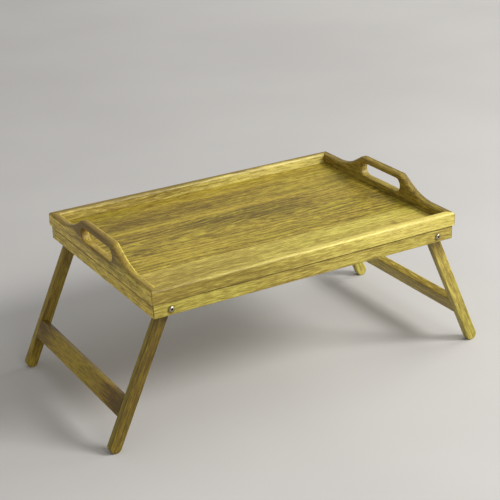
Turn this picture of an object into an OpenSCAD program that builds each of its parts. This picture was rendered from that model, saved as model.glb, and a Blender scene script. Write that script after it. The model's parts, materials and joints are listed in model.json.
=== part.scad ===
// Folding tray table: a mitred wooden tray with a raised finger handle at each end,
// standing on two splayed leg frames that fold flat into the apron under its floor.
// Millimetres, +Z up, +X to the right, -Y to the front.
// The origin is on the ground, under the middle of the tray.

/* [Tray] */
// Length of the tray, from the left end to the right end
tray_l = 500; // [460:5:560]
// Width of the tray, from front to back
tray_w = 340; // [300:5:380]
// Height of the upper rails
rail_h = 20.5; // [18:0.5:26]
// Thickness of the upper rails and of the handle boards
rail_t = 13; // [12:0.5:14]
// Radius of the eased top edges of the rails
edge_r = 4; // [1:0.5:5]

/* [Handles] */
// Height of a handle's flat top above the rails
handle_rise = 26; // [22:0.5:32]
// Length of a handle's flat top
handle_flat = 94; // [80:1:110]
// Slope of a handle's shoulders, in degrees
shoulder_angle = 31; // [26:1:38]
// Radius of the hollow curve at the foot of a shoulder
hollow_r = 100; // [60:5:110]
// Radius of the crown curve at the top of a shoulder
crown_r = 14; // [6:1:20]
// Length of a finger slot
slot_l = 101; // [90:1:110]
// Height of a finger slot
slot_h = 21; // [18:0.5:24]
// Wood left between a finger slot and the flat top above it
slot_bridge = 9.2; // [8:0.1:12]

/* [Floor] */
// Thickness of the floor boards, which rest on top of the apron
floor_t = 5.5; // [4:0.5:8]

/* [Apron] */
// Height of the apron under the rails
apron_h = 21.5; // [20:0.5:26]
// Thickness of the apron
apron_t = 12.5; // [12:0.5:14]
// How far the apron stands back from the faces of the rails
apron_step = 2.5; // [1.5:0.5:4]

/* [Legs] */
// Lean of a standing leg away from upright, in degrees
leg_tilt = 24.3; // [18:0.1:28]
// Width of a leg, seen from the front
leg_w = 17.5; // [15:0.5:17.5]
// Thickness of a leg, from front to back
leg_t = 12; // [11:0.5:15]
// Height of the pivot above the bottom edge of the apron
pivot_rise = 9; // [9:0.1:10.8]
// Gap between the feet of the two leg frames when both are folded
fold_gap = 4.4; // [3:0.2:12]
// Distance along a leg from the pivot to the top of the stretcher
stretcher_drop = 141; // [110:0.5:160]
// Height of a stretcher along the leg
stretcher_h = 28; // [20:1:32]
// Thickness of a stretcher
stretcher_t = 12.5; // [9:0.5:13]

/* [Hardware] */
// Diameter of a pivot bolt's shank
bolt_d = 5; // [4:1:6]
// Length of a pivot bolt's shank
bolt_l = 35; // [35:1:40]
// Diameter of a dowel in a stretcher joint
stretcher_dowel_d = 6; // [4:1:6]
// Diameter of a dowel between the rails and the apron
frame_dowel_d = 5; // [3:1:5]

/* [Hidden] */

// Which way a mirrored sub-part faces
LEFT = -1;
RIGHT = 1;
FRONT = -1;
BACK = 1;

// Colours
rail_colour = [0.70, 0.62, 0.32];
handle_colour = [0.58, 0.50, 0.27];
floor_colour = [0.60, 0.52, 0.25];
floor_light_colour = [0.72, 0.65, 0.35];
apron_colour = [0.66, 0.58, 0.28];
leg_colour = [0.58, 0.50, 0.24];
dowel_colour = [0.78, 0.66, 0.46];
bolt_colour = [0.80, 0.78, 0.72];
nut_colour = [0.66, 0.67, 0.68];

// Number of straight steps in a rounded edge and in a rounded end
edge_steps = 4;
end_steps = 16;
apron_edge_r = 1.5;

// Outer and inner faces of the apron
apron_x = tray_l / 2 - apron_step;
apron_y = tray_w / 2 - apron_step;
apron_in_x = apron_x - apron_t;
apron_in_y = apron_y - apron_t;

// Legs: the outer edge of a standing leg stops against the lower inner edge of the end apron
leg_r = leg_w / 2;
stop_gap = 0.3;
pivot_inset = (leg_r + stop_gap + pivot_rise * sin(leg_tilt)) / cos(leg_tilt);
pivot_x = apron_in_x - pivot_inset;
leg_reach = pivot_x - fold_gap / 2;
pivot_z = (leg_reach - leg_r) * cos(leg_tilt) + leg_r;

// Levels, from the bottom of the apron up to the top of the rails
apron_z = pivot_z - pivot_rise;
rail_z = apron_z + apron_h;
rail_top = rail_z + rail_h;
floor_top = rail_z + floor_t;

// Floor boards: they fit between the rails and rest on the inner edge of the apron
floor_gap = 0.3;
floor_x = tray_l / 2 - rail_t - floor_gap;
floor_y = tray_w / 2 - rail_t - floor_gap;
// Places of the glue joints between the floor boards, as shares of the width from front to back
joint_front = -0.264 * floor_y * 2;
joint_middle = 0.175 * floor_y * 2;
joint_back = 0.429 * floor_y * 2;

// Finger slot
slot_z = rail_top + handle_rise - slot_bridge - slot_h / 2;

// Gaps beside a leg: a washer and a little side play
washer_t = 1;
side_play = 0.2;
leg_y = apron_in_y - washer_t - side_play;
leg_in_y = leg_y - leg_t;

// Clearances round a shank, as radii
leg_bore_play = 0.05;
apron_bore_play = 0.1;
washer_play = 0.15;

// Bolts, nuts and washers, in proportion to the bolt's diameter
bolt_head_d = 1.7 * bolt_d;
bolt_head_h = 0.55 * bolt_d;
bolt_socket_w = 0.6 * bolt_d;
bolt_socket_depth = 0.3 * bolt_d;
nut_w = 1.6 * bolt_d;
nut_h = 0.8 * bolt_d;
nut_collar_h = 0.2 * bolt_d;
washer_d = 2 * bolt_d;

// Dowels
stretcher_dowel_l = 24;
stretcher_dowel_in_leg = 9;
stretcher_dowel_inset = 7;
frame_dowel_up = 8;
frame_dowel_down = 10;
frame_dowel_inset = (rail_t - apron_step) / 2;
long_dowel_x = [-0.34 * tray_l, 0, 0.34 * tray_l];
short_dowel_y = [-0.35 * tray_w, 0.35 * tray_w];

// Points along an arc, from angle a0 to angle a1
function arc(centre, r, a0, a1, steps) =
    [for (i = [0 : steps]) let (a = a0 + (a1 - a0) * i / steps) centre + r * [cos(a), sin(a)]];

// Outline of a bar with fully rounded ends, centred on a line from [0, 0] to the given end
function round_bar(end, r) =
    let (a = atan2(end[1], end[0]))
    concat(arc(end, r, a - 90, a + 90, end_steps), arc([0, 0], r, a + 90, a + 270, end_steps));

// Extrudes a section given as [distance along Y, height] along X, centred on the origin
module along_x(length) {
    rotate([90, 0, 90])
        linear_extrude(length, center = true)
            children();
}

// The ground plan of one side of a mitred frame: its outer length, and its distance from the middle
module mitred_plan(length, reach, thick) {
    polygon([
        [-length / 2, -reach],
        [length / 2, -reach],
        [length / 2 - thick, thick - reach],
        [thick - length / 2, thick - reach]
    ]);
}

// Cuts the mitres on one side of a frame
module mitred(length, reach, thick) {
    intersection() {
        children();
        translate([0, 0, apron_z - 1])
            linear_extrude(rail_top + handle_rise + 2 - apron_z)
                mitred_plan(length, reach, thick);
    }
}

// Turns something drawn at the front round to the left or the right end
module at_end(side) {
    mirror([side == LEFT ? 1 : 0, 0, 0])
        rotate([0, 0, 90])
            children();
}

// Puts something drawn at the front at the front or the back
module at_face(face) {
    mirror([0, face == BACK ? 1 : 0, 0])
        children();
}

// ---- Upper frame ----

// Holes for, or the pegs of, the dowels along one long side
module long_side_dowels() {
    for (x = long_dowel_x)
        translate([x, frame_dowel_inset - apron_y, rail_z - frame_dowel_down])
            cylinder(h = frame_dowel_up + frame_dowel_down, d = frame_dowel_d, $fn = 32);
}

// The same along one short side, drawn at the front with the end's length along X
module short_side_dowels() {
    for (x = short_dowel_y)
        translate([x, frame_dowel_inset - apron_x, rail_z - frame_dowel_down])
            cylinder(h = frame_dowel_up + frame_dowel_down, d = frame_dowel_d, $fn = 32);
}

module rail_section() {
    polygon(concat(
        [[0, 0], [rail_t, 0]],
        arc([rail_t - edge_r, rail_h - edge_r], edge_r, 0, 90, edge_steps),
        arc([edge_r, rail_h - edge_r], edge_r, 90, 180, edge_steps)
    ));
}

module long_rail(face) {
    color(rail_colour)
        at_face(face)
            difference() {
                mitred(tray_l, tray_w / 2, rail_t)
                    translate([0, -tray_w / 2, rail_z])
                        along_x(tray_l)
                            rail_section();
                long_side_dowels();
            }
}

module front_rail() {
    long_rail(FRONT);
}

module back_rail() {
    long_rail(BACK);
}

// ---- Handle boards ----

// One shoulder of a handle, from the corner of the tray up to the flat top.
// Each station is [place along the board, height above the rails, slope in degrees].
shoulder_rise = handle_rise - (hollow_r + crown_r) * (1 - cos(shoulder_angle));
shoulder_run = shoulder_rise / tan(shoulder_angle);
hollow_start = handle_flat / 2 + (hollow_r + crown_r) * sin(shoulder_angle) + shoulder_run;
hollow_steps = 8;
crown_steps = 4;

function shoulder() = concat(
    [[-tray_w / 2, 0, 0]],
    [for (i = [0 : hollow_steps]) let (a = shoulder_angle * i / hollow_steps)
        [hollow_r * sin(a) - hollow_start, hollow_r * (1 - cos(a)), a]],
    [for (i = [0 : crown_steps]) let (a = shoulder_angle * (1 - i / crown_steps))
        [-handle_flat / 2 - crown_r * sin(a), handle_rise - crown_r * (1 - cos(a)), a]]
);

function mirrored(stations) =
    [for (i = [len(stations) - 1 : -1 : 0]) [-stations[i][0], stations[i][1], -stations[i][2]]];

// The ring of points round the board at one station, from the bottom of the outer face over the top
function board_ring(s) =
    let (up = [-sin(s[2]), cos(s[2])], top = [s[0], s[1]])
    concat(
        [[s[0], 0, -rail_h]],
        [for (i = [0 : edge_steps]) let (a = 90 * i / edge_steps, p = top + edge_r * (sin(a) - 1) * up)
            [p[0], edge_r * (1 - cos(a)), p[1]]],
        [for (i = [edge_steps : -1 : 0]) let (a = 90 * i / edge_steps, p = top + edge_r * (sin(a) - 1) * up)
            [p[0], rail_t - edge_r * (1 - cos(a)), p[1]]],
        [[s[0], rail_t, -rail_h]]
    );

// A board with eased top edges that follows the handle's outline, its outer face at y = 0
module handle_blank() {
    stations = concat(shoulder(), mirrored(shoulder()));
    rings = [for (s = stations) board_ring(s)];
    n = len(rings[0]);
    last = len(rings) - 1;
    polyhedron(
        points = [for (ring = rings) for (p = ring) p],
        faces = concat(
            [[for (j = [n - 1 : -1 : 0]) j]],
            [[for (j = [0 : n - 1]) last * n + j]],
            [for (i = [0 : last - 1]) for (j = [0 : n - 1])
                let (k = (j + 1) % n) each [
                    [i * n + j, (i + 1) * n + k, (i + 1) * n + j],
                    [i * n + j, i * n + k, (i + 1) * n + k]
                ]]
        ),
        convexity = 4
    );
}

// The finger slot, cut right through the board
module finger_slot() {
    centre_l = slot_l - slot_h;
    translate([-centre_l / 2, rail_t / 2 - tray_l / 2, slot_z])
        rotate([90, 0, 0])
            linear_extrude(rail_t + 4, center = true)
                polygon(round_bar([centre_l, 0], slot_h / 2));
}

module handle_board(side) {
    color(handle_colour)
        at_end(side)
            difference() {
                mitred(tray_w, tray_l / 2, rail_t)
                    translate([0, -tray_l / 2, rail_top])
                        handle_blank();
                finger_slot();
                short_side_dowels();
            }
}

module left_handle_board() {
    handle_board(LEFT);
}

module right_handle_board() {
    handle_board(RIGHT);
}

// ---- Floor ----

// One floor board between two joints
module floor_board(y0, y1, colour) {
    color(colour)
        translate([-floor_x, y0, rail_z])
            cube([2 * floor_x, y1 - y0, floor_t]);
}

module floor_board_front() {
    floor_board(-floor_y, joint_front, floor_light_colour);
}

module floor_board_wide() {
    floor_board(joint_front, joint_middle, floor_colour);
}

module floor_board_rear() {
    floor_board(joint_middle, joint_back, floor_colour);
}

module floor_board_back_strip() {
    floor_board(joint_back, floor_y, floor_light_colour);
}

// ---- Apron ----

module apron_section() {
    polygon(concat(
        arc([apron_edge_r, apron_edge_r], apron_edge_r, 180, 270, edge_steps),
        arc([apron_t - apron_edge_r, apron_edge_r], apron_edge_r, 270, 360, edge_steps),
        [[apron_t, apron_h], [0, apron_h]]
    ));
}

module apron_side(length, reach) {
    mitred(length, reach, apron_t)
        translate([0, -reach, apron_z])
            along_x(length)
                apron_section();
}

module long_apron(face) {
    color(apron_colour)
        at_face(face)
            difference() {
                apron_side(2 * apron_x, apron_y);
                for (side = [LEFT, RIGHT])
                    translate([side * pivot_x, -apron_y - 1, pivot_z])
                        rotate([-90, 0, 0])
                            cylinder(h = apron_t + 2, r = bolt_d / 2 + apron_bore_play, $fn = 48);
                long_side_dowels();
            }
}

module short_apron(side) {
    color(apron_colour)
        at_end(side)
            difference() {
                apron_side(2 * apron_y, apron_x);
                short_side_dowels();
            }
}

module front_apron() {
    long_apron(FRONT);
}

module back_apron() {
    long_apron(BACK);
}

module left_apron() {
    short_apron(LEFT);
}

module right_apron() {
    short_apron(RIGHT);
}

module frame_dowels() {
    color(dowel_colour) {
        for (face = [FRONT, BACK])
            at_face(face)
                long_side_dowels();
        for (side = [LEFT, RIGHT])
            at_end(side)
                short_side_dowels();
    }
}

// ---- Leg frames ----

// Puts something drawn round an upright leg, its pivot at the origin, where a standing leg is
module on_leg_frame(side) {
    mirror([side == LEFT ? 1 : 0, 0, 0])
        translate([pivot_x, 0, pivot_z])
            rotate([0, -leg_tilt, 0])
                children();
}

// The dowels between a stretcher and the front leg
module stretcher_joint_dowels() {
    for (drop = [stretcher_dowel_inset, stretcher_h - stretcher_dowel_inset])
        translate([leg_r - stretcher_t / 2, -leg_in_y - stretcher_dowel_in_leg, -stretcher_drop - drop])
            rotate([-90, 0, 0])
                cylinder(h = stretcher_dowel_l, d = stretcher_dowel_d, $fn = 32);
}

module leg(side, face) {
    color(leg_colour)
        on_leg_frame(side)
            at_face(face)
                difference() {
                    translate([0, -leg_in_y, 0])
                        rotate([90, 0, 0])
                            linear_extrude(leg_t)
                                polygon(round_bar([0, leg_r - leg_reach], leg_r));
                    translate([0, -leg_y - 1, 0])
                        rotate([-90, 0, 0])
                            cylinder(h = leg_t + 2, r = bolt_d / 2 + leg_bore_play, $fn = 48);
                    stretcher_joint_dowels();
                }
}

module stretcher(side) {
    color(leg_colour)
        on_leg_frame(side)
            difference() {
                translate([leg_r - stretcher_t, -leg_in_y, -stretcher_drop - stretcher_h])
                    cube([stretcher_t, 2 * leg_in_y, stretcher_h]);
                for (face = [FRONT, BACK])
                    at_face(face)
                        stretcher_joint_dowels();
            }
}

module stretcher_dowels(side) {
    color(dowel_colour)
        on_leg_frame(side)
            for (face = [FRONT, BACK])
                at_face(face)
                    stretcher_joint_dowels();
}

module front_left_leg() {
    leg(LEFT, FRONT);
}

module back_left_leg() {
    leg(LEFT, BACK);
}

module left_stretcher() {
    stretcher(LEFT);
}

module left_stretcher_dowels() {
    stretcher_dowels(LEFT);
}

module front_right_leg() {
    leg(RIGHT, FRONT);
}

module back_right_leg() {
    leg(RIGHT, BACK);
}

module right_stretcher() {
    stretcher(RIGHT);
}

module right_stretcher_dowels() {
    stretcher_dowels(RIGHT);
}

// ---- Pivots ----

// Puts something drawn along +Z from a distance inside the tray's front face on a pivot's axis
module on_pivot(side, face, y) {
    at_face(face)
        translate([side * pivot_x, -y, pivot_z])
            rotate([90, 0, 0])
                children();
}

// A domed socket-head bolt whose head bears on the outer face of the apron
module pivot_bolt(side, face) {
    color(bolt_colour)
        on_pivot(side, face, apron_y)
            difference() {
                union() {
                    rotate_extrude($fn = 48)
                        polygon(concat(
                            [[0, 0], [bolt_head_d / 2, 0]],
                            [for (i = [1 : 5]) let (a = 90 * i / 6)
                                [bolt_head_d / 2 * cos(a), bolt_head_h * sin(a)]],
                            [[0, bolt_head_h]]
                        ));
                    translate([0, 0, -bolt_l])
                        cylinder(h = bolt_l + 0.5, d = bolt_d, $fn = 48);
                }
                translate([0, 0, bolt_head_h - bolt_socket_depth])
                    cylinder(h = bolt_socket_depth + 1, d = bolt_socket_w / cos(30), $fn = 6);
            }
}

// A lock nut on the inner side of the leg, its collar pointing into the tray
module pivot_nut(side, face) {
    nut_y = leg_in_y - side_play - washer_t;
    color(nut_colour)
        on_pivot(side, face, nut_y - nut_h - nut_collar_h)
            difference() {
                union() {
                    translate([0, 0, nut_collar_h])
                        cylinder(h = nut_h, d = nut_w / cos(30), $fn = 6);
                    cylinder(h = nut_collar_h + 0.5, d = 0.9 * nut_w, $fn = 48);
                }
                translate([0, 0, -1])
                    cylinder(h = nut_h + nut_collar_h + 2, d = bolt_d, $fn = 48);
            }
}

// The washers on both sides of a leg
module pivot_washers(side, face) {
    color(nut_colour)
        for (y = [leg_y + side_play, leg_in_y - side_play - washer_t])
            on_pivot(side, face, y)
                difference() {
                    cylinder(h = washer_t, d = washer_d, $fn = 48);
                    translate([0, 0, -1])
                        cylinder(h = washer_t + 2, r = bolt_d / 2 + washer_play, $fn = 48);
                }
}

module front_left_pivot_bolt() {
    pivot_bolt(LEFT, FRONT);
}

module back_left_pivot_bolt() {
    pivot_bolt(LEFT, BACK);
}

module front_right_pivot_bolt() {
    pivot_bolt(RIGHT, FRONT);
}

module back_right_pivot_bolt() {
    pivot_bolt(RIGHT, BACK);
}

module front_left_pivot_nut() {
    pivot_nut(LEFT, FRONT);
}

module back_left_pivot_nut() {
    pivot_nut(LEFT, BACK);
}

module front_right_pivot_nut() {
    pivot_nut(RIGHT, FRONT);
}

module back_right_pivot_nut() {
    pivot_nut(RIGHT, BACK);
}

module front_left_washers() {
    pivot_washers(LEFT, FRONT);
}

module back_left_washers() {
    pivot_washers(LEFT, BACK);
}

module front_right_washers() {
    pivot_washers(RIGHT, FRONT);
}

module back_right_washers() {
    pivot_washers(RIGHT, BACK);
}

front_rail();
back_rail();
left_handle_board();
right_handle_board();
floor_board_front();
floor_board_wide();
floor_board_rear();
floor_board_back_strip();
front_apron();
back_apron();
left_apron();
right_apron();
frame_dowels();
front_left_leg();
back_left_leg();
left_stretcher();
left_stretcher_dowels();
front_right_leg();
back_right_leg();
right_stretcher();
right_stretcher_dowels();
front_left_pivot_bolt();
back_left_pivot_bolt();
front_right_pivot_bolt();
back_right_pivot_bolt();
front_left_pivot_nut();
back_left_pivot_nut();
front_right_pivot_nut();
back_right_pivot_nut();
front_left_washers();
back_left_washers();
front_right_washers();
back_right_washers();
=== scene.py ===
import json
import math
from typing import NamedTuple

import bpy
import bmesh
import numpy as np
from mathutils import Matrix, Vector
from mathutils.geometry import delaunay_2d_cdt


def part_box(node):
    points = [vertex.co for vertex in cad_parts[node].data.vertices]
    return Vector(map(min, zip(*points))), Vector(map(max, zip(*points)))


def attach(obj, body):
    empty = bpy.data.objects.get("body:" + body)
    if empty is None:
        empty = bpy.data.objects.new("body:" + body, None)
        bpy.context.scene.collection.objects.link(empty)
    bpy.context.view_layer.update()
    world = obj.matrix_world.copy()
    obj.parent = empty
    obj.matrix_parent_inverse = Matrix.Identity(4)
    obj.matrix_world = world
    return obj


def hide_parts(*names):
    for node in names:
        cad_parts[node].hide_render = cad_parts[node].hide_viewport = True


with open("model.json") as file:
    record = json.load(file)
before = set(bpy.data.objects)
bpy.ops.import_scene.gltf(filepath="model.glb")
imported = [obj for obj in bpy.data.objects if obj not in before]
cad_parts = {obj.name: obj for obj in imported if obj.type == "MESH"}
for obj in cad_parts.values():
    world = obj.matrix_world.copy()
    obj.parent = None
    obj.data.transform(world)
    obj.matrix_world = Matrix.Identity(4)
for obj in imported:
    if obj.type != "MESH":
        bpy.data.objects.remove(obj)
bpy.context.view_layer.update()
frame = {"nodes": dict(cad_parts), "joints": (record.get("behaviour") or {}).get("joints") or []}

# The folding tray table: its visible pieces, built round the CAD frame, with their materials, the floor,
# the light and the camera. Lengths are in metres, with X along the tray, Y to the back and Z up.

MM = 0.001

# ---------------------------------------------------------------- camera

CAMERA_PLACE = Vector((-0.909715, -1.554807, 0.943480))
CAMERA_YAW, CAMERA_PITCH, CAMERA_ROLL = 0.528670, 0.404616, -0.025068
CAMERA_SENSOR, CAMERA_LENS = 36, 93.922272  # in millimetres


def make_camera():
    cy, sy = math.cos(CAMERA_YAW), math.sin(CAMERA_YAW)
    cp, sp = math.cos(CAMERA_PITCH), math.sin(CAMERA_PITCH)
    cr, sr = math.cos(CAMERA_ROLL), math.sin(CAMERA_ROLL)
    forward = Vector((sy * cp, cy * cp, -sp))
    right = Vector((cy, -sy, 0))
    up = right.cross(forward)
    x_axis = cr * right + sr * up
    y_axis = -sr * right + cr * up
    data = bpy.data.cameras.new("camera")
    data.sensor_width = CAMERA_SENSOR
    data.lens = CAMERA_LENS
    data.clip_start, data.clip_end = 0.05, 60
    cam = bpy.data.objects.new("camera", data)
    cam.matrix_world = Matrix((x_axis, y_axis, -forward)).transposed().to_4x4()
    cam.location = CAMERA_PLACE
    bpy.context.scene.collection.objects.link(cam)
    bpy.context.scene.camera = cam


make_camera()

# ---------------------------------------------------------------- shader helpers


class Graph:
    """A material's nodes, added one by one; a value is a number, a tuple or an output socket."""

    def __init__(self, name):
        self.material = bpy.data.materials.new(name)
        self.material.use_nodes = True
        self.tree = self.material.node_tree
        self.tree.nodes.clear()

    def put(self, socket, value):
        if isinstance(value, bpy.types.NodeSocket):
            self.tree.links.new(value, socket)
        elif isinstance(value, (tuple, list)) and socket.type == "RGBA":
            socket.default_value = (*value[:3], 1)
        else:
            socket.default_value = value

    def node(self, kind, inputs=None, **settings):
        n = self.tree.nodes.new(kind)
        for key, value in settings.items():
            setattr(n, key, value)
        for key, value in (inputs or {}).items():
            self.put(n.inputs[key], value)
        return n

    def math(self, operation, *values, clamp=False):
        n = self.node("ShaderNodeMath", operation=operation, use_clamp=clamp)
        for i, value in enumerate(values):
            self.put(n.inputs[i], value)
        return n.outputs[0]

    def vector(self, operation, *values):
        n = self.node("ShaderNodeVectorMath", operation=operation)
        for i, value in enumerate(values):
            self.put(n.inputs[i], value)
        return n.outputs["Value" if operation == "LENGTH" else "Vector"]

    def place(self, vec, scale=(1, 1, 1), turn=(0, 0, 0), shift=(0, 0, 0)):
        return self.node("ShaderNodeMapping",
                         {"Vector": vec, "Location": shift, "Rotation": turn, "Scale": scale}).outputs[0]

    def noise(self, vec, detail=4, rough=0.55, output="Fac"):
        inputs = {"Vector": vec, "Scale": 1.0, "Detail": detail, "Roughness": rough}
        return self.node("ShaderNodeTexNoise", inputs).outputs[output]

    def centred(self, field, weight, value):
        """A value with a noise field added that changes it as much upward as downward."""
        return self.math("MULTIPLY_ADD", self.math("SUBTRACT", field, 0.5), weight, value)

    def span(self, value, a, b, c=0.0, d=1.0):
        """A soft step from c, where the value is a, to d, where it is b."""
        inputs = {"Value": value, "From Min": a, "From Max": b, "To Min": c, "To Max": d}
        return self.node("ShaderNodeMapRange", inputs, interpolation_type="SMOOTHSTEP").outputs[0]

    def ramp(self, value, stops):
        n = self.node("ShaderNodeValToRGB", {"Fac": value})
        e = n.color_ramp.elements
        while len(e) < len(stops):
            e.new(0.5)
        for item, (place, colour) in zip(e, stops):
            item.position = place
            item.color = (*colour, 1)
        return n.outputs[0]

    def mix(self, share, a, b, how="MIX"):
        n = self.node("ShaderNodeMix", data_type="RGBA", blend_type=how)
        self.put(n.inputs[0], share)
        self.put(n.inputs[6], a)
        self.put(n.inputs[7], b)
        return n.outputs[2]

    def wear_and_painted_light(self):
        """The value stored at the mesh's points: above 0 where rubbed paler, and on the handle boards' inner
        arris a painted highlight; below 0 where the colour is darkened, painted shade in the bolt's socket.
        """
        return self.node("ShaderNodeAttribute", attribute_name="wear_and_painted_light").outputs["Fac"]

    def finish(self, inputs):
        shader = self.node("ShaderNodeBsdfPrincipled", inputs)
        out = self.node("ShaderNodeOutputMaterial")
        self.tree.links.new(shader.outputs[0], out.inputs[0])
        return self.material


def tone(r, g, b):
    """A colour given in display values from 0 to 255, as linear numbers."""
    return tuple((c / 255 / 12.92) if c <= 10 else ((c / 255 + 0.055) / 1.055) ** 2.4 for c in (r, g, b))


def scaled(colour, k):
    return tuple(min(1.0, c * k) for c in colour)


# ---------------------------------------------------------------- wood

GRAIN_TURN = {"x": (0, 0, 0), "y": (0, 0, -math.pi / 2), "z": (0, math.pi / 2, 0)}
RING_GAP, RING_CONE = 11 * MM, 0.05  # growth rings far from the tree's middle, nearly straight
HEART_GAP, HEART_CONE = 8 * MM, 0.12  # rings near the middle, which the board cuts in arches
HEART_BESIDE = (0, -0.04, 0.05)  # where the middle lies for a piece that doesn't hold it


def wood(name, grain, seed, tones, contrast=1.0, waviness=1.0, heart=None, clouds=()):
    """Oiled hardwood with its grain along one direction of the piece's own space.

    grain: x, y or z, or an angle about Y for a leaning piece.
    tones: the wood's dark, middle and light colours.
    heart: where the tree's middle crosses the piece, for grain that runs in arches.
    clouds: (place, radii, strength) of soft darker clouds (strength below 0) or lighter ones; some of them
    are painted shade, painted shadows and painted highlights."""
    dark, mid, light = tones
    g = Graph(name)
    own = g.node("ShaderNodeTexCoord").outputs["Object"]
    turn = GRAIN_TURN[grain] if isinstance(grain, str) else (0, grain, 0)
    along = g.place(own, turn=turn, shift=seed)

    # Slow wander of the fibres, sideways only
    wander = g.noise(g.place(along, scale=(4.5, 16, 16)), detail=2, rough=0.5, output="Color")
    sway = g.vector("MULTIPLY", g.vector("SUBTRACT", wander, (0.5, 0.5, 0.5)),
                    (0.0, 0.020 * waviness, 0.020 * waviness))
    bent = g.vector("ADD", along, sway)

    def streaks(lengthwise, crosswise, shift=(0, 0, 0), **look):
        """Noise drawn out along the grain, with this many marks to the metre each way."""
        return g.noise(g.place(bent, scale=(lengthwise, crosswise, crosswise), shift=shift), **look)

    shades = streaks(5, 26, detail=3)
    bands = streaks(4, 95, (3.1, 1.7, 0.4), detail=5, rough=0.68)
    lines = streaks(14, 330, (1.3, 5.2, 2.2), rough=0.65)
    flecks = streaks(48, 620, (5.5, 7.3, 1.9), detail=3, rough=0.7)
    fibres = streaks(70, 1700, detail=3, rough=0.6)
    mottle = streaks(75, 190, (2.2, 0.9, 4.4), detail=3, rough=0.6)
    pores = g.span(streaks(190, 2300, (0.7, 0.2, 8.1), detail=1, rough=0.5), 0.62, 0.72)

    # Growth rings round a heart line that leans away from the piece
    gap, cone = (HEART_GAP, HEART_CONE) if heart else (RING_GAP, RING_CONE)
    middle = [a + b for a, b in zip(seed, heart)] if heart else HEART_BESIDE
    off = g.node("ShaderNodeSeparateXYZ", {"Vector": g.vector("SUBTRACT", bent, middle)}).outputs
    off_up = g.math("MULTIPLY_ADD", off[0], cone, off[2])
    radius = g.vector("LENGTH", g.node("ShaderNodeCombineXYZ", {"X": off[1], "Y": off_up}).outputs[0])
    rings = g.math("FRACT", g.math("ADD", g.math("DIVIDE", radius, gap), g.math("MULTIPLY", bands, 1.4)))
    late = g.math("MULTIPLY", g.span(rings, 0.25, 0.86), g.span(rings, 1.0, 0.9))

    # All of it together, from dark to light
    value = 0.55
    for field, weight in ((shades, 0.75 * contrast), (bands, 0.80 * contrast), (lines, 1.25 * contrast),
                          (flecks, 1.05 + 1.4 * contrast), (fibres, 0.55), (mottle, 0.15 + 0.45 * contrast)):
        value = g.centred(field, weight, value)
    value = g.math("MULTIPLY_ADD", late, -0.26 if heart else -0.15 * contrast, value)
    for place, radii, strength in clouds:
        away = g.vector("LENGTH", g.vector("DIVIDE", g.vector("SUBTRACT", own, place), radii))
        away = g.centred(bands, 0.6, g.centred(shades, 0.9, away))
        value = g.math("MULTIPLY_ADD", g.span(away, 1.25, 0.15), strength, value)

    colour = g.ramp(value, [(0.05, dark), (0.45, mid), (0.72, light), (1.0, scaled(light, 1.22))])
    # A slow drift in hue, from green olive to brown
    drift = g.noise(g.place(along, scale=(5.5, 14, 14), shift=(9.1, 4.4, 0.3)), detail=2)
    hue = g.ramp(drift, [(0.38, (0.97, 1.01, 0.92)), (0.50, (1.0, 1.0, 1.0)), (0.64, (1.01, 0.98, 1.05))])
    colour = g.mix(1.0, colour, hue, "MULTIPLY")
    colour = g.mix(g.math("MULTIPLY", pores, 0.42), colour, scaled(dark, 0.55))
    # Rubbed edges go paler, and so does the painted highlight on the handle boards' inner arris; where the
    # stored value is below 0 the colour goes darker
    wear_and_painted_light = g.wear_and_painted_light()
    rub_and_painted_highlight = g.math("MULTIPLY", wear_and_painted_light, g.span(g.math("ADD", shades, g.math("MULTIPLY", lines, 0.4)), 0.45, 0.95))
    colour = g.mix(g.math("MULTIPLY", rub_and_painted_highlight, 0.25, clamp=True), colour, scaled(light, 1.25))
    colour = g.mix(g.math("MULTIPLY", wear_and_painted_light, -1.0, clamp=True), colour, scaled(dark, 0.75))

    rough = g.math("MULTIPLY_ADD", bands, 0.16, 0.40)
    rough = g.math("MULTIPLY_ADD", pores, 0.16, rough)
    rough = g.math("MULTIPLY_ADD", wear_and_painted_light, -0.05, rough, clamp=True)
    height = g.math("MULTIPLY_ADD", lines, 0.35, g.math("MULTIPLY", fibres, 0.45))
    height = g.math("MULTIPLY_ADD", pores, -0.8, height)
    bump = g.node("ShaderNodeBump", {"Strength": 0.35, "Distance": 0.18 * MM, "Height": height}).outputs[0]
    return g.finish({"Base Color": colour, "Roughness": rough, "Normal": bump,
                     "Specular IOR Level": 0.30, "Coat Weight": 0.11, "Coat Roughness": 0.28})


def metal(name, base, stain, rough, marks, bump_depth):
    """Plated steel with faint handling marks, so many to the metre, and painted shade, near black, where the
    stored value is below 0, as in the bolt's socket.
    """
    g = Graph(name)
    own = g.node("ShaderNodeTexCoord").outputs["Object"]
    cloud = g.noise(g.place(own, scale=(marks, marks, marks)), rough=0.6)
    fine = g.noise(g.place(own, scale=(marks * 9, marks * 2, marks * 9)), detail=3, rough=0.65)
    colour = g.mix(g.span(cloud, 0.48, 0.72, 0.0, 0.6), base, stain)
    wear_and_painted_light = g.wear_and_painted_light()
    colour = g.mix(g.math("MULTIPLY", wear_and_painted_light, 0.35, clamp=True), colour, scaled(base, 1.15))
    # Below 0 the colour goes near black: painted shade in the bolt's socket
    colour = g.mix(g.math("MULTIPLY", wear_and_painted_light, -1.0, clamp=True), colour, (0.006, 0.006, 0.005))
    roughness = g.math("MULTIPLY_ADD", fine, 0.22, rough - 0.08, clamp=True)
    bump = g.node("ShaderNodeBump", {"Strength": 0.25, "Distance": bump_depth, "Height": fine}).outputs[0]
    return g.finish({"Base Color": colour, "Metallic": 1.0, "Roughness": roughness, "Normal": bump})


# ---------------------------------------------------------------- mesh helpers

MITRE_GROOVE = 0.25 * MM  # depth of the fine groove round a mitre
MITRE_GAP = 0.35 * MM  # how far its edges stay back from the joint


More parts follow.
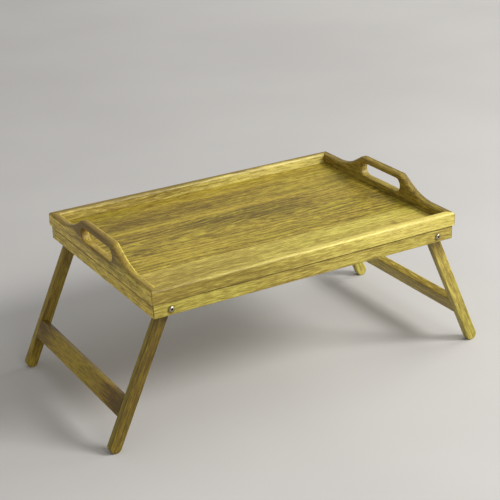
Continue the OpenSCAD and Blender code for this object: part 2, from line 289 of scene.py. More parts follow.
def arc(cx, cy, r, a0, a1, n):
    return [(cx + r * math.cos(a0 + (a1 - a0) * i / n), cy + r * math.sin(a0 + (a1 - a0) * i / n))
            for i in range(n + 1)]


def circle(cx, cy, r, n=32):
    return arc(cx, cy, r, 0, 2 * math.pi, n)[:-1]


def quarter(n):
    """(depth from the side, drop from the top, wear) round a rounded edge, from the side to the top."""
    out = []
    for i in range(n + 1):
        a = math.pi / 2 * i / n
        out.append((1 - math.cos(a), 1 - math.sin(a), math.sin(2 * a)))
    return out


def offset_loop(loop, distance):
    """A closed anticlockwise loop of 2-D points moved outward by a distance."""
    if not distance:
        return [tuple(p) for p in loop]
    out = []
    n = len(loop)
    for i in range(n):
        p0, p1, p2 = (np.array(loop[(i + k) % n], float) for k in (-1, 0, 1))
        a, b = p1 - p0, p2 - p1
        na = np.array((a[1], -a[0])) / np.hypot(*a)
        nb = np.array((b[1], -b[0])) / np.hypot(*b)
        m = (na + nb) / (1 + na @ nb)
        out.append(tuple(p1 + m * distance))
    return out


def inside(point, loop):
    """Whether a 2-D point is inside a closed loop."""
    found = False
    for (x0, y0), (x1, y1) in zip(loop, [*loop[1:], loop[0]]):
        if (y0 > point[1]) != (y1 > point[1]) and point[0] < (x1 - x0) * (point[1] - y0) / (y1 - y0) + x0:
            found = not found
    return found


class Shell:
    """Collects points and faces in metres, then becomes a piece."""

    def __init__(self):
        self.points, self.faces, self.wear_and_painted_light = [], [], []

    def add(self, points, wear_and_painted_light=0.0):
        start = len(self.points)
        self.points += [tuple(p) for p in points]
        self.wear_and_painted_light += list(wear_and_painted_light) if hasattr(wear_and_painted_light, "__len__") else [wear_and_painted_light] * len(points)
        return list(range(start, start + len(points)))

    def strip(self, a, b, closed=True):
        n = len(a)
        for i in range(n if closed else n - 1):
            j = (i + 1) % n
            self.faces.append((a[i], a[j], b[j], b[i]))

    def strips(self, loops):
        for a, b in zip(loops, loops[1:]):
            self.strip(a, b)

    def fill(self, loops, place):
        """A flat face inside the first loop and outside the others; loops hold 2-D points."""
        flat, edges = [], []
        for loop in loops:
            start = len(flat)
            flat += [Vector(p) for p in loop]
            edges += [(start + i, start + (i + 1) % len(loop)) for i in range(len(loop))]
        made = delaunay_2d_cdt(flat, edges, [], 0, 1e-7)
        ids = self.add([place(p) for p in made[0]])
        for face in made[2]:
            middle = sum((made[0][i] for i in face), Vector((0, 0))) / len(face)
            if inside(middle, loops[0]) and not any(inside(middle, loop) for loop in loops[1:]):
                self.faces.append(tuple(ids[i] for i in face))

    def spin(self, rows, place, segments, reach=None, ring=False):
        """A turned form. rows: (height, radius, wear, kind), from one end to the other.

        place turns (x, y, height) into a point. For a row with a kind, reach(angle, radius, height, kind)
        gives the distance from the middle. The ends are closed, or joined to each other in a ring."""
        loops = []
        for height, radius, wear_and_painted_light, kind in rows:
            points = []
            for i in range(segments):
                a = 2 * math.pi * i / segments
                r = reach(a, radius, height, kind) if kind else radius
                points.append(place(r * math.cos(a), r * math.sin(a), height))
            loops.append(self.add(points, wear_and_painted_light))
        self.strips(loops)
        if ring:
            self.strip(loops[-1], loops[0])
        else:
            self.faces += [tuple(loops[0]), tuple(loops[-1])]

    def piece(self, node, material, body, slot_name, sharp=40.0):
        """Becomes the visible piece of a CAD node; edges over the sharp angle, in degrees, stay crisp."""
        name = node + "_piece"
        mesh = bpy.data.meshes.new(name)
        mesh.from_pydata(self.points, [], self.faces)
        layer = mesh.attributes.new("wear_and_painted_light", "FLOAT", "POINT")
        layer.data.foreach_set("value", np.array(self.wear_and_painted_light, np.float32))
        b = bmesh.new()
        b.from_mesh(mesh)
        bmesh.ops.remove_doubles(b, verts=b.verts, dist=2e-6)
        bmesh.ops.dissolve_degenerate(b, edges=b.edges, dist=1e-6)
        bmesh.ops.recalc_face_normals(b, faces=b.faces)
        b.to_mesh(mesh)
        b.free()
        for p in mesh.polygons:
            p.use_smooth = True
        mesh.set_sharp_from_angle(angle=math.radians(sharp))
        mesh.materials.append(material)
        o = bpy.data.objects.new(name, mesh)
        bpy.context.scene.collection.objects.link(o)
        normals = o.modifiers.new("normals", "WEIGHTED_NORMAL")
        normals.keep_sharp = True
        normals.weight = 90
        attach(o, body)
        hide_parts(node)


def side_shell(half, thick, low, stations, top_r, low_r, to_world, holes=(), steps=8, edge_dark=0.0, hole_tone=0.0):
    """One mitred side of a frame: a board on edge whose ends are cut at 45 degrees.

    stations: (place along, height of the top, slope) from one end to the other, inside the mitres.
    to_world turns (along, depth from the outer face, height) into a point.
    holes: (outline in along and height, radius of its eased edge).
    edge_dark: how much darker the top edge is made, with a painted highlight where it meets the inner face; a
    top edge without it is rubbed paler."""
    shell = Shell()
    under_steps = 3

    def ring(along, top, slope, mitre=0, inset=0.0):
        """The board's outline across its length, from the underside round the outer face and over the top."""
        lean, rise = -math.sin(slope), math.cos(slope)
        rows = [(along, low_r * depth, low + low_r * drop, 0.7 * wear_and_painted_light)
                for depth, drop, wear_and_painted_light in reversed(quarter(under_steps))]
        for depth, drop, wear_and_painted_light in quarter(steps):
            wear_and_painted_light = -edge_dark * (1 - drop) if edge_dark else wear_and_painted_light
            rows.append((along - top_r * drop * lean, top_r * depth, top - top_r * drop * rise, wear_and_painted_light))
        for depth, drop, wear_and_painted_light in reversed(quarter(steps)):
            # The darkened edge turns pale again where it meets the inner face: a painted highlight along the
            # inner arris
            wear_and_painted_light = -0.7 * edge_dark * (1 - drop) * (1 - 5 * drop) if edge_dark else wear_and_painted_light
            rows.append((along - top_r * drop * lean, thick - top_r * depth, top - top_r * drop * rise, wear_and_painted_light))
        rows += [(along, thick - low_r * depth, low + low_r * drop, 0.7 * wear_and_painted_light)
                 for depth, drop, wear_and_painted_light in quarter(under_steps)]
        out, wears = [], []
        for x, t, z, wear_and_painted_light in rows:
            if inset:
                t += inset if t < thick / 2 else -inset
                z += inset if z < (low + top) / 2 else -inset
            if mitre:
                x = mitre * (half - t - (0.0 if inset else MITRE_GAP))
            out.append(to_world(x, t, z))
            wears.append(0.0 if mitre and not edge_dark else wear_and_painted_light)
        return shell.add(out, wears)

    first_top, last_top = stations[0][1], stations[-1][1]
    rings = [ring(-half, first_top, 0, -1), *(ring(*s) for s in stations), ring(half, last_top, 0, 1)]
    outer = under_steps + 1  # index of the first point of the rounded top
    inner = len(rings[0]) - under_steps - 2  # and of its last point
    for a, b in zip(rings, rings[1:]):
        shell.strip(a[outer:inner + 1], b[outer:inner + 1], closed=False)
    # The underside and its eased edges run straight from end to end
    a, b = rings[0], rings[-1]
    shell.strip(a[:outer], b[:outer], closed=False)
    shell.strip(a[inner + 1:], b[inner + 1:], closed=False)
    shell.faces.append((a[0], b[0], b[-1], a[-1]))
    # Fine grooves where the mitres meet, and the mitres themselves
    for end, top, edge in ((-1, first_top, rings[0]), (1, last_top, rings[-1])):
        sunk = ring(end * half, top, 0, end, MITRE_GROOVE)
        shell.strip(edge, sunk)
        shell.faces.append(tuple(sunk))

    # The two flat faces
    cuts = [offset_loop(outline, ease) for outline, ease in holes]
    for t in (0.0, thick):
        reach = half - t - MITRE_GAP
        loop = [(-reach, low + low_r), (reach, low + low_r), (reach, last_top - top_r)]
        loop += [(along + top_r * math.sin(slope), top - top_r * math.cos(slope))
                 for along, top, slope in reversed(stations)]
        loop.append((-reach, first_top - top_r))
        shell.fill([loop, *cuts], lambda p, t=t: to_world(p[0], t, p[1]))
    # The walls of the holes, with eased edges
    for outline, ease in holes:
        edge = [(ease * drop, ease * depth) for depth, drop, wear_and_painted_light in quarter(5)]
        both = edge + [(out, thick - deep) for out, deep in reversed(edge)]
        shell.strips([shell.add([to_world(x, deep, z) for x, z in offset_loop(outline, out)], hole_tone)
                      for out, deep in both])
    return shell


def prism_shell(outline, depth, ease, to_world, hole=None, hole_ease=0.0, steps=5):
    """A flat plate with eased edges; outline is anticlockwise, to_world takes (x, y, depth)."""
    shell = Shell()

    def wall(loop, edge):
        """edge: (distance outward, depth, wear) from one flat face to the wall; the other face mirrors it."""
        both = edge + [(out, depth - deep, wear_and_painted_light) for out, deep, wear_and_painted_light in reversed(edge)]
        shell.strips([shell.add([to_world(x, y, deep) for x, y in offset_loop(loop, out)], wear_and_painted_light)
                      for out, deep, wear_and_painted_light in both])

    wall(outline, [(-ease * drop, ease * deep, wear_and_painted_light) for deep, drop, wear_and_painted_light in quarter(steps)])
    loops = [offset_loop(outline, -ease)]
    if hole:
        wall(hole, [(hole_ease * drop, hole_ease * deep, wear_and_painted_light) for deep, drop, wear_and_painted_light in quarter(3)])
        loops.append(offset_loop(hole, hole_ease))
    for deep in (0.0, depth):
        shell.fill(loops, lambda p, deep=deep: to_world(p[0], p[1], deep))
    return shell


# ---------------------------------------------------------------- colours and materials

# The dark, middle and light colour of each kind of wood
PALETTES = {
    "olive": (tone(96, 76, 34), tone(146, 125, 56), tone(182, 162, 84)),
    "pale": (tone(128, 106, 46), tone(170, 149, 72), tone(204, 186, 104)),
    "brown": (tone(76, 61, 31), tone(116, 98, 50), tone(154, 136, 73)),
}


class Look(NamedTuple):
    """What a wooden piece is like. gain scales the palette, and for some pieces stands in for light or shade;
    clouds: (place, radii, strength) of soft changes of shade, some of them painted light and shade.
    """
    grain: str
    seed: tuple
    palette: str
    gain: tuple
    contrast: float
    waviness: float
    clouds: tuple = ()
    heart: tuple = None


WOODS = {
    # Front rail: painted shade on the left and painted light on the right, where the key light falls off from
    # the right, and a painted highlight along the top edge
    "front_rail": Look("x", (0.3, 0.1, 0.2), "pale", (0.94, 0.97, 0.76), 0.45, 0.5, (
        ((-0.28, -0.165, 0.222), (0.34, 0.06, 0.06), -0.40),
        ((0.19, -0.165, 0.222), (0.26, 0.06, 0.06), 0.18),
        ((0.0, -0.166, 0.2335), (0.50, 0.0095, 0.004), 0.20))),
    # Back rail: painted shade along the top edge, heavier toward the right, and painted shade on the left
    # with painted light on the right, where the key light falls off
    "back_rail": Look("x", (1.7, 0.6, 0.4), "pale", (0.90, 0.92, 0.88), 0.7, 0.6, (
        ((0.0, 0.166, 0.2332), (0.60, 0.0095, 0.006), -0.50),
        ((0.19, 0.168, 0.2332), (0.16, 0.0095, 0.006), -0.45),
        ((-0.20, 0.16, 0.222), (0.24, 0.05, 0.05), -0.20),
        ((0.14, 0.16, 0.222), (0.16, 0.05, 0.05), 0.16))),
    # Left handle board: the high gain is painted light, standing in for fill light from the left; the cloud
    # darkens the outer side of the crown
    "left_handle_board": Look("y", (2.9, 0.2, 1.1), "olive", (1.84, 1.86, 1.30), 0.55, 0.35, (
        ((-0.2505, 0.0, 0.247), (0.010, 0.105, 0.023), -0.80),)),
    # Right handle board: the low gain is painted shade, darkening the board for the shade on its inner face
    "right_handle_board": Look("y", (4.3, 1.2, 0.7), "olive", (0.81, 0.77, 0.42), 0.7, 0.5),
    # Front floor board: the first cloud is painted shade on the left, where the key light falls off
    "floor_board_front": Look("x", (0.9, 2.2, 0.5), "pale", (0.97, 1.00, 0.70), 0.55, 0.8, (
        ((-0.20, -0.12, 0.218), (0.20, 0.06, 0.03), -0.16),
        ((0.175, -0.122, 0.218), (0.007, 0.010, 0.03), -0.30))),
    "floor_board_wide": Look("x", (5.1, 0.4, 1.9), "olive", (0.97, 0.97, 0.45), 0.65, 1.6, (
        ((0.06, 0.025, 0.218), (0.12, 0.040, 0.03), -0.20),
        ((-0.13, 0.040, 0.218), (0.16, 0.020, 0.03), -0.24),
        ((-0.10, -0.050, 0.218), (0.16, 0.030, 0.03), 0.12)), heart=(0.10, -0.01, 0.218)),
    "floor_board_rear": Look("x", (2.4, 3.3, 0.8), "olive", (0.88, 0.84, 0.37), 0.7, 0.9, (
        ((-0.06, 0.10, 0.218), (0.20, 0.030, 0.03), -0.20),
        ((0.0, 0.062, 0.218), (0.30, 0.006, 0.03), 0.28))),
    "floor_board_back_strip": Look("x", (6.2, 1.1, 0.3), "olive", (0.93, 0.93, 0.41), 0.6, 0.6, (
        ((-0.15, 0.15, 0.218), (0.18, 0.03, 0.03), -0.18),)),
    "front_apron": Look("x", (3.6, 2.8, 0.9), "pale", (0.78, 0.79, 0.56), 0.6, 0.6),
    "back_apron": Look("x", (7.7, 0.9, 0.1), "pale", (0.78, 0.79, 0.56), 0.6, 0.6),
    # Left apron: the high gain is painted light, standing in for fill light from the left
    "left_apron": Look("y", (1.1, 4.1, 0.6), "olive", (1.74, 1.73, 1.15), 0.55, 0.3),
    "right_apron": Look("y", (5.4, 2.1, 1.3), "olive", (1.02, 1.01, 0.64), 0.8, 0.8),
    "left_stretcher": Look("y", (3.3, 1.4, 2.5), "olive", (0.88, 0.79, 0.26), 0.25, 0.6, (
        ((-0.28, 0.135, 0.07), (0.06, 0.050, 0.06), -0.40),
        ((-0.28, -0.135, 0.06), (0.06, 0.055, 0.05), -0.45),
        ((-0.28, 0.02, 0.07), (0.06, 0.070, 0.06), 0.10))),
    # Right stretcher: the cloud is painted shade on the outer face, which the lamps on the right light
    # strongly
    "right_stretcher": Look("y", (6.6, 2.4, 1.5), "brown", (1.90, 1.96, 0.96), 0.4, 0.6, (
        ((0.28, -0.14, 0.08), (0.06, 0.14, 0.06), -0.20),)),
    "front_left_leg": Look("leg", (0.7, 0.3, -0.35), "olive", (0.71, 0.69, 0.26), 0.35, 0.3, (
        ((-0.26, -0.1545, 0.10), (0.30, 0.004, 0.30), -0.42),)),
    "back_left_leg": Look("leg", (0.7, 1.7, -0.35), "olive", (0.86, 0.79, 0.33), 0.35, 0.3, (
        ((-0.26, 0.1405, 0.10), (0.30, 0.004, 0.30), -0.14),)),
    # Front right leg: the cloud is a painted shadow of the apron on the top of the leg
    "front_right_leg": Look("leg", (3.3, 0.3, 0.35), "olive", (1.11, 1.18, 0.98), 0.35, 0.3, (
        ((0.228, -0.15, 0.185), (0.03, 0.05, 0.030), -0.30),)),
    "back_right_leg": Look("leg", (3.3, 1.7, 0.35), "olive", (1.16, 1.27, 1.06), 0.3, 0.5),
}


def bolt_axis(corner):
    """x and z of the line through the middle of a pivot bolt, for a corner such as front_left."""
    lo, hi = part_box(corner + "_pivot_bolt")
    return (lo.x + hi.x) / 2, (lo.z + hi.z) / 2


def joints_and_painted_shade(name):
    """Dark lines in the corner joints, and painted shade under the rails and round the bolt heads."""
    lo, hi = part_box(name)
    corner = 5 * MM
    out = [((x, y, (lo.z + hi.z) / 2), (1.3 * MM, 1.3 * MM, 0.8 * (hi.z - lo.z)), -0.8)
           for x in (lo.x, hi.x) for y in (lo.y, hi.y)
           if abs(x) > HALF_LENGTH - corner and abs(y) > HALF_WIDTH - corner]
    # Painted shade along the top of each apron, under the overhanging rail, and round the bolt heads
    if name in ("left_apron", "right_apron"):
        x = lo.x if lo.x < 0 else hi.x
        out.append(((x, 0, RAIL_LOW - 1.8 * MM), (6 * MM, 300 * MM, 3.4 * MM), -0.75))
    if name in ("front_apron", "back_apron"):
        y = lo.y if lo.y < 0 else hi.y
        out.append(((0, y, RAIL_LOW - 1.4 * MM), (400 * MM, 6 * MM, 1.8 * MM), -0.5))
        for side in ("left", "right"):
            x, z = bolt_axis("front_" + side)
            # Painted shade round the bolt head, off-centre below it
            out.append(((x - 1.2 * MM, y, z - 0.8 * MM), (6.2 * MM, 6 * MM, 6.2 * MM), -1.1))
    return tuple(out)


def wood_of(name, lean=0.0):
    look = WOODS[name]
    tones = [tuple(c * k for c, k in zip(colour, look.gain)) for colour in PALETTES[look.palette]]
    grain = lean if look.grain == "leg" else look.grain
    clouds = look.clouds + (joints_and_painted_shade(name) if name.endswith(("rail", "handle_board", "apron")) else ())
    return wood(name + "_wood", grain, look.seed, tones, look.contrast, look.waviness, look.heart, clouds)


DOWEL_WOOD = wood("dowel_wood", "z", (0.5, 0.5, 0.5),
                  (tone(150, 118, 70), tone(196, 164, 108), tone(222, 196, 146)), 0.6, 0.3)
BOLT_STEEL = metal("bolt_steel", tone(168, 160, 134), tone(112, 102, 76), 0.19, 260, 0.03 * MM)
NUT_STEEL = metal("nut_steel", tone(176, 178, 180), tone(120, 116, 108), 0.38, 300, 0.04 * MM)

# ---------------------------------------------------------------- tray

RAIL_LOW, RAIL_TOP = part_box("front_rail")[0].z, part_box("front_rail")[1].z
HALF_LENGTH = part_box("front_rail")[1].x
HALF_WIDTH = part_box("left_handle_board")[1].y
RAIL_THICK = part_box("front_rail")[1].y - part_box("front_rail")[0].y
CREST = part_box("left_handle_board")[1].z
RAIL_EDGE, RAIL_UNDER_EDGE = 4 * MM, 0.5 * MM
APRON_EDGE, APRON_UNDER_EDGE = 0.3 * MM, 1.5 * MM
APRON_BORE_R, APRON_BORE_EASE = 2.6 * MM, 0.2 * MM
FLOOR_EDGE = 0.22 * MM

# The outline of a handle, as in the CAD source
HANDLE_FLAT = 94 * MM
SHOULDER = math.radians(31)
HOLLOW_R, HOLLOW_STEPS = 100 * MM, 16
CROWN_R, CROWN_STEPS = 14 * MM, 10
SLOT_LENGTH = 101 * MM
SLOT_HEIGHT = 21 * MM
SLOT_BRIDGE = 9.2 * MM
SLOT_EASE = 2.2 * MM

# How much darker the top edge of each handle board is made, turning to a painted highlight along its inner
# arris, and the tone of the walls of its slot, darker below 0 and paler above
HANDLE_EDGE_TONES = {"left_handle_board": (0.85, -0.45), "right_handle_board": (0.45, 0.1)}


def handle_stations():
    """(place along, height, slope) over the hollow and the crown on one side, and mirrored over the other."""
    rise = CREST - RAIL_TOP
    straight = rise - (HOLLOW_R + CROWN_R) * (1 - math.cos(SHOULDER))
    start = HANDLE_FLAT / 2 + (HOLLOW_R + CROWN_R) * math.sin(SHOULDER) + straight / math.tan(SHOULDER)
    half = []
    for i in range(HOLLOW_STEPS + 1):
        a = SHOULDER * i / HOLLOW_STEPS
        half.append((HOLLOW_R * math.sin(a) - start, RAIL_TOP + HOLLOW_R * (1 - math.cos(a)), a))
    for i in range(CROWN_STEPS + 1):
        a = SHOULDER * (1 - i / CROWN_STEPS)
        half.append((-HANDLE_FLAT / 2 - CROWN_R * math.sin(a), CREST - CROWN_R * (1 - math.cos(a)), a))
    return half + [(-x, z, -a) for x, z, a in reversed(half)]


def level_stations(half, top, shares):
    return [(half * share, top, 0) for share in shares]


def slot_outline():
    r = SLOT_HEIGHT / 2
    z = CREST - SLOT_BRIDGE - r
    c = SLOT_LENGTH / 2 - r
    return arc(c, z, r, -math.pi / 2, math.pi / 2, 20) + arc(-c, z, r, math.pi / 2, math.pi * 1.5, 20)


def long_place(face, reach):
    return lambda x, t, z: (x, face * (reach - t), z)


def end_place(side, reach):
    return lambda y, t, z: (side * (reach - t), y, z)


def build_rails():
    flat = level_stations(HALF_LENGTH, RAIL_TOP, (-0.5, 0, 0.5))
    for name, face in (("front_rail", -1), ("back_rail", 1)):
        shell = side_shell(HALF_LENGTH, RAIL_THICK, RAIL_LOW, flat, RAIL_EDGE, RAIL_UNDER_EDGE,
                           long_place(face, HALF_WIDTH))
        shell.piece(name, wood_of(name), "tray", "rail_wood")
    for name, side in (("left_handle_board", -1), ("right_handle_board", 1)):
        edge_dark, slot_tone = HANDLE_EDGE_TONES[name]
        shell = side_shell(HALF_WIDTH, RAIL_THICK, RAIL_LOW, handle_stations(), RAIL_EDGE, RAIL_UNDER_EDGE,
                           end_place(side, HALF_LENGTH), [(slot_outline(), SLOT_EASE)],
                           edge_dark=edge_dark, hole_tone=slot_tone)
        shell.piece(name, wood_of(name), "tray", "handle_wood")


def build_aprons():
    lo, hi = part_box("front_apron")
    half_x, half_y = hi.x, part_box("left_apron")[1].y
    thick = hi.y - lo.y
    bolt_x, bolt_z = bolt_axis("front_right")
    bores = [(circle(side * bolt_x, bolt_z, APRON_BORE_R), APRON_BORE_EASE) for side in (-1, 1)]
    for name, half, place, holes in (("front_apron", half_x, long_place(-1, half_y), bores),
                                     ("back_apron", half_x, long_place(1, half_y), bores),
                                     ("left_apron", half_y, end_place(-1, half_x), ()),
                                     ("right_apron", half_y, end_place(1, half_x), ())):
        shell = side_shell(half, thick, lo.z, level_stations(half, hi.z, (-0.5, 0.5)), APRON_EDGE,
                           APRON_UNDER_EDGE, place, holes, steps=2)
        shell.piece(name, wood_of(name), "tray", "apron_wood")


def build_floor():
    for name, slot in (("floor_board_front", "floor_light_wood"), ("floor_board_wide", "floor_wood"),
                       ("floor_board_rear", "floor_wood"), ("floor_board_back_strip", "floor_light_wood")):
        lo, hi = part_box(name)
        outline = [(lo.x, lo.y), (hi.x, lo.y), (hi.x, hi.y), (lo.x, hi.y)]
        shell = prism_shell(outline, hi.z - lo.z, FLOOR_EDGE,
                            lambda x, y, d, z=lo.z: (x, y, z + d), steps=3)
        shell.piece(name, wood_of(name), "tray", slot)


build_rails()
build_aprons()
build_floor()

# ---------------------------------------------------------------- leg frames

LEG_EDGE, LEG_BORE_R, LEG_BORE_EASE = 1.3 * MM, 2.55 * MM, 0.3 * MM
LEG_END_STEPS = 28
STRETCHER_EDGE, STRETCHER_EDGE_STEPS = 1.6 * MM, 6


def own_box(node, origin, tilt):
    """A node's box in the upright leg frame: x outward across the leg, z up along it."""
    c, s = math.cos(tilt), math.sin(tilt)
    points = [Vector(v.co) - origin for v in frame["nodes"][node].data.vertices]
    turned = np.array([(c * p.x + s * p.z, p.y, -s * p.x + c * p.z) for p in points])
    return turned.min(0), turned.max(0)


def build_leg_frame(side_name, side):
    joint = next(j for j in frame["joints"] if j["child"] == side_name + "_leg_frame")
    body = joint["child"]
    lean = side * math.radians(max(abs(v) for v in joint["range_deg"]) - 90)
    pivot_x, pivot_z = bolt_axis("front_" + side_name)
    pivot = Vector((pivot_x, 0, pivot_z))
    c, s = math.cos(lean), math.sin(lean)

    def place(x, y, z):
        """From the upright frame to where the leaning frame stands."""
        return (pivot.x + c * x - s * z, y, pivot.z + s * x + c * z)

    for face_name in ("front", "back"):
        name = f"{face_name}_{side_name}_leg"
        lo, hi = own_box(name, pivot, lean)
        r = (hi[0] - lo[0]) / 2
        outline = (arc(0, 0, r, 0, math.pi, LEG_END_STEPS)
                   + arc(0, lo[2] + r, r, math.pi, 2 * math.pi, LEG_END_STEPS))
        shell = prism_shell(outline, hi[1] - lo[1], LEG_EDGE, lambda x, z, d, y=lo[1]: place(x, y + d, z),
                            circle(0, 0, LEG_BORE_R), LEG_BORE_EASE)
        shell.piece(name, wood_of(name, lean - math.pi / 2), body, "leg_wood")

    # The stretcher is a bar with four rounded edges, worn most in the middle of each edge
    name = side_name + "_stretcher"
    lo, hi = own_box(name, pivot, lean)
    e, steps = STRETCHER_EDGE, STRETCHER_EDGE_STEPS
    section = []
    for x, z, start in ((hi[0] - e, lo[2] + e, -math.pi / 2), (hi[0] - e, hi[2] - e, 0),
                        (lo[0] + e, hi[2] - e, math.pi / 2), (lo[0] + e, lo[2] + e, math.pi)):
        section += arc(x, z, e, start, start + math.pi / 2, steps)
    wear_and_painted_light = [math.sin(math.pi * i / steps) for i in range(steps + 1)] * 4
    shell = Shell()
    rows = [shell.add([place(x, y, z) for x, z in section], wear_and_painted_light) for y in np.linspace(lo[1], hi[1], 5)]
    shell.strips(rows)
    shell.faces += [tuple(rows[0]), tuple(rows[-1])]
    shell.piece(name, wood_of(name), body, "stretcher_wood")


build_leg_frame("left", -1)
build_leg_frame("right", 1)

# ---------------------------------------------------------------- hardware

SHANK_R = 2.5 * MM
THREAD_LENGTH, THREAD_PITCH, THREAD_DEPTH = 12 * MM, 0.8 * MM, 0.42 * MM
THREAD_RUNOUT = 2 * MM  # how slowly the thread fades out toward the plain shank
SOCKET, SOCKET_DEPTH = 3 * MM, 1.6 * MM  # the hexagon across its flats
HEAD_RIM = 0.3 * MM  # height of the upright rim under the dome
DOME_TURN = math.radians(78)
NUT_COLLAR, NUT_CHAMFER = 1.0 * MM, 0.45 * MM
NUT_BORE_R = SHANK_R + 0.06 * MM
WASHER_BORE_R, WASHER_EDGE = 2.65 * MM, 0.18 * MM
ROUND_SEGMENTS, NUT_SEGMENTS = 48, 72


def hexagon(a, across):
    """Distance from the middle to the edge of a hexagon, at an angle."""
    step = math.pi / 3
    return across / 2 / math.cos((a % step) - step / 2)


def side_reach(node):
    """The nearest and the farthest distance of a node from the middle plane of the tray."""
    lo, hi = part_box(node)
    return sorted((abs(lo.y), abs(hi.y)))


def build_bolt(name, place, head_h, length):
    """A domed head with a hexagon socket, and a shank threaded at its end; the head's underside is at 0."""
    lo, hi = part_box(name)
    head_r = (hi.x - lo.x) / 2
    thread_end = THREAD_LENGTH - length
    thread_rows = int(THREAD_LENGTH / THREAD_PITCH * 8)
    taper = 0.35 * MM  # in front of the first turn

    def reach(a, r, h, kind):
        if kind == "socket":
            return hexagon(a, r)
        if h >= thread_end:
            return r
        turn = (h / THREAD_PITCH - a / (2 * math.pi)) % 1.0
        return r - THREAD_DEPTH * abs(2 * turn - 1) * min(1.0, (thread_end - h) / THREAD_RUNOUT)

    rows = [(-length, SHANK_R - 0.6 * MM, 0.3, None)]
    rows += [(-length + taper + (THREAD_LENGTH - taper) * i / thread_rows, SHANK_R, 0.0, "thread")
             for i in range(thread_rows + 1)]
    rows += [(-0.2 * MM, SHANK_R, 0.0, None), (0.0, SHANK_R + 0.01 * MM, 0.0, None),
             (0.0, head_r - 0.25 * MM, 0.3, None), (0.12 * MM, head_r - 0.04 * MM, 0.8, None),
             (HEAD_RIM, head_r, 0.8, None)]
    for i in range(1, 13):
        a = DOME_TURN * i / 12
        r = head_r * math.cos(a)
        if r > 0.62 * SOCKET:  # the dome stops at the rim of the socket
            rows.append((HEAD_RIM + (head_h - HEAD_RIM) * math.sin(a) / math.sin(DOME_TURN), r, 0.2, None))
    top = rows[-1][0]
    # The socket's rows hold values below 0, painted near black as shade in the recess
    rows += [(top, SOCKET / 2 + 0.30 * MM, 0.4, None), (top - 0.08 * MM, SOCKET, -0.5, "socket"),
             (top - 0.30 * MM, SOCKET, -1.0, "socket"), (top - 1.35 * MM, SOCKET, -1.0, "socket"),
             (top - SOCKET_DEPTH, 0.3 * MM, -1.0, None)]
    shell = Shell()
    shell.spin(rows, place, ROUND_SEGMENTS, reach)
    shell.piece(name, BOLT_STEEL, "tray", "bolt_steel", sharp=35)


def build_nut(name, place, depth):
    """A lock nut: a chamfered hexagon and a rounded collar; heights run from its bearing face."""
    lo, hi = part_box(name)
    wide, high = hi.x - lo.x, hi.z - lo.z
    across = min(wide, high)
    turn = math.pi / 3 + (0.0 if wide > high else math.pi / 6)
    corner = across / 2 / math.cos(math.pi / 6)
    collar_from, collar_r = depth - NUT_COLLAR, 0.45 * across
    rows = [(0.35 * MM, NUT_BORE_R, 0.0, None), (0.0, NUT_BORE_R + 0.35 * MM, 0.4, None),
            (0.0, across / 2 - 0.1 * MM, 0.4, None), (NUT_CHAMFER, corner, 0.5, "flats"),
            (collar_from - NUT_CHAMFER, corner, 0.5, "flats"),
            (collar_from, across / 2 - 0.1 * MM, 0.4, None), (collar_from, collar_r, 0.0, None)]
    rows += [(depth - NUT_COLLAR * drop, collar_r - 0.55 * MM * deep, 0.4, None)
             for deep, drop, wear_and_painted_light in quarter(5)[1:]]
    rows += [(depth, NUT_BORE_R + 0.25 * MM, 0.2, None), (depth - 0.3 * MM, NUT_BORE_R, 0.0, None)]
    shell = Shell()
    shell.spin(rows, place, NUT_SEGMENTS, lambda a, r, h, kind: min(r, hexagon(a + turn, across)), ring=True)
    shell.piece(name, NUT_STEEL, "tray", "nut_steel", sharp=30)


def build_washers(name, place):
    """Two washers, one on each side of the leg; heights run from the middle plane of the tray."""
    lo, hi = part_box(name)
    r_in, r_out, e = WASHER_BORE_R, (hi.x - lo.x) / 2, WASHER_EDGE
    ys = np.array([abs(v.co.y) for v in frame["nodes"][name].data.vertices])
    middle = (ys.min() + ys.max()) / 2
    shell = Shell()
    for group in (ys[ys < middle], ys[ys > middle]):
        y0, y1 = group.min(), group.max()
        rows = [(y0, r_in + e), (y0, r_out - e), (y0 + e, r_out), (y1 - e, r_out),
                (y1, r_out - e), (y1, r_in + e), (y1 - e, r_in), (y0 + e, r_in)]
        shell.spin([(y, r, 0.4, None) for y, r in rows], place, ROUND_SEGMENTS, ring=True)
    shell.piece(name, NUT_STEEL, "tray", "nut_steel", sharp=30)


def build_pivot(side_name, face_name):
    corner = f"{face_name}_{side_name}"
    face = -1 if face_name == "front" else 1
    axis_x, axis_z = bolt_axis(corner)

    def along(start, way=1):
        """A place for heights that run along the bolt, from a distance off the middle plane of the tray."""
        return lambda x, y, h: (axis_x + x, face * (start + way * h), axis_z + y)

    apron_y = side_reach(face_name + "_apron")[1]
    bolt_in, bolt_out = side_reach(corner + "_pivot_bolt")
    nut_in, nut_out = side_reach(corner + "_pivot_nut")
    build_bolt(corner + "_pivot_bolt", along(apron_y), bolt_out - apron_y, apron_y - bolt_in)
    build_nut(corner + "_pivot_nut", along(nut_out, -1), nut_out - nut_in)
    build_washers(corner + "_washers", along(0))


for which_side in ("left", "right"):
    for which_face in ("front", "back"):
        build_pivot(which_side, which_face)

# The dowels are seen as their CAD nodes are
for name in ("frame_dowels", "left_stretcher_dowels", "right_stretcher_dowels"):
    node = frame["nodes"][name]
    node.data.materials.clear()
    node.data.materials.append(DOWEL_WOOD)

# ---------------------------------------------------------------- floor and light

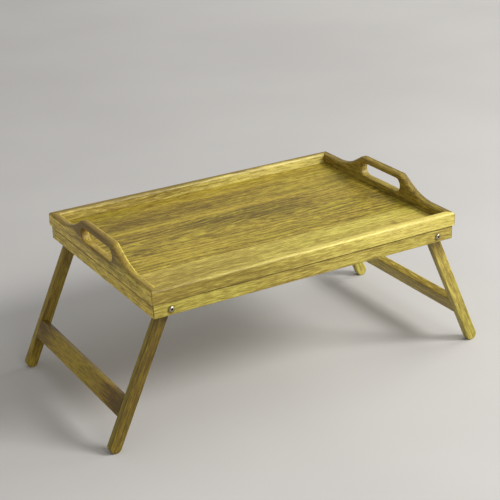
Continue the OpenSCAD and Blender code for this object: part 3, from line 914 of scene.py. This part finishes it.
STAGE_HALF = 9
AIM = (0, 0, 0.1)  # the middle of the table, where the key lights point
SOFTBOXES = (  # name, place, aim, size, watts
    ("key", (2.2, -2.2, 2.6), AIM, 1.2, 88),
    ("key_near", (1.43, -1.42, 1.66), AIM, 1.1, 15),
    ("right_fill", (2.8, 0, 1.8), (0, 0, 0), 2.0, 36),
    ("front_fill", (0.6, -3.2, 2.2), (0, 0, 0), 2.5, 45),
)
BACKDROP_LAMPS = (("backdrop_right", (3.0, 2.6, 3.2), 162), ("backdrop_middle", (1.2, 3.2, 3.2), 81))
ROOM_LIGHT = 0.434


def make_stage():
    g = Graph("backdrop")
    own = g.node("ShaderNodeTexCoord").outputs["Object"]
    cloud = g.noise(g.place(own, scale=(2.3, 2.3, 2.3)), detail=3, rough=0.5)
    colour = g.mix(g.span(cloud, 0.3, 0.7), (0.483, 0.468, 0.447), (0.507, 0.492, 0.469))
    material = g.finish({"Base Color": colour, "Roughness": 0.85, "Specular IOR Level": 0.15})
    mesh = bpy.data.meshes.new("backdrop")
    corners = [(x * STAGE_HALF, y * STAGE_HALF, 0) for x, y in ((-1, -1), (1, -1), (1, 1), (-1, 1))]
    mesh.from_pydata(corners, [], [(0, 1, 2, 3)])
    mesh.materials.append(material)
    o = bpy.data.objects.new("backdrop", mesh)
    bpy.context.scene.collection.objects.link(o)


def lamp(name, kind, place, watts):
    data = bpy.data.lights.new(name, kind)
    data.energy = watts
    o = bpy.data.objects.new(name, data)
    o.location = place
    bpy.context.scene.collection.objects.link(o)
    return o


def make_light():
    for name, place, aim, size, watts in SOFTBOXES:
        box = lamp(name, "AREA", place, watts)
        box.data.shape = "DISK"
        box.data.size = size
        box.rotation_euler = (Vector(aim) - Vector(place)).to_track_quat("-Z", "Y").to_euler()
    # Spots that shine straight down on the floor behind the table, which the photo shows paler
    for name, place, watts in BACKDROP_LAMPS:
        spot = lamp(name, "SPOT", place, watts)
        spot.data.shadow_soft_size = 0.5
        spot.data.spot_size = math.radians(80)
        spot.data.spot_blend = 1.0
    world = bpy.data.worlds.new("room")
    world.use_nodes = True
    back = world.node_tree.nodes["Background"]
    back.inputs["Color"].default_value = (1, 1, 1, 1)
    back.inputs["Strength"].default_value = ROOM_LIGHT
    bpy.context.scene.world = world
    view = bpy.context.scene.view_settings
    view.view_transform = "Standard"
    view.look = "None"
    view.exposure = 0.0
    view.gamma = 1.0


make_stage()
make_light()
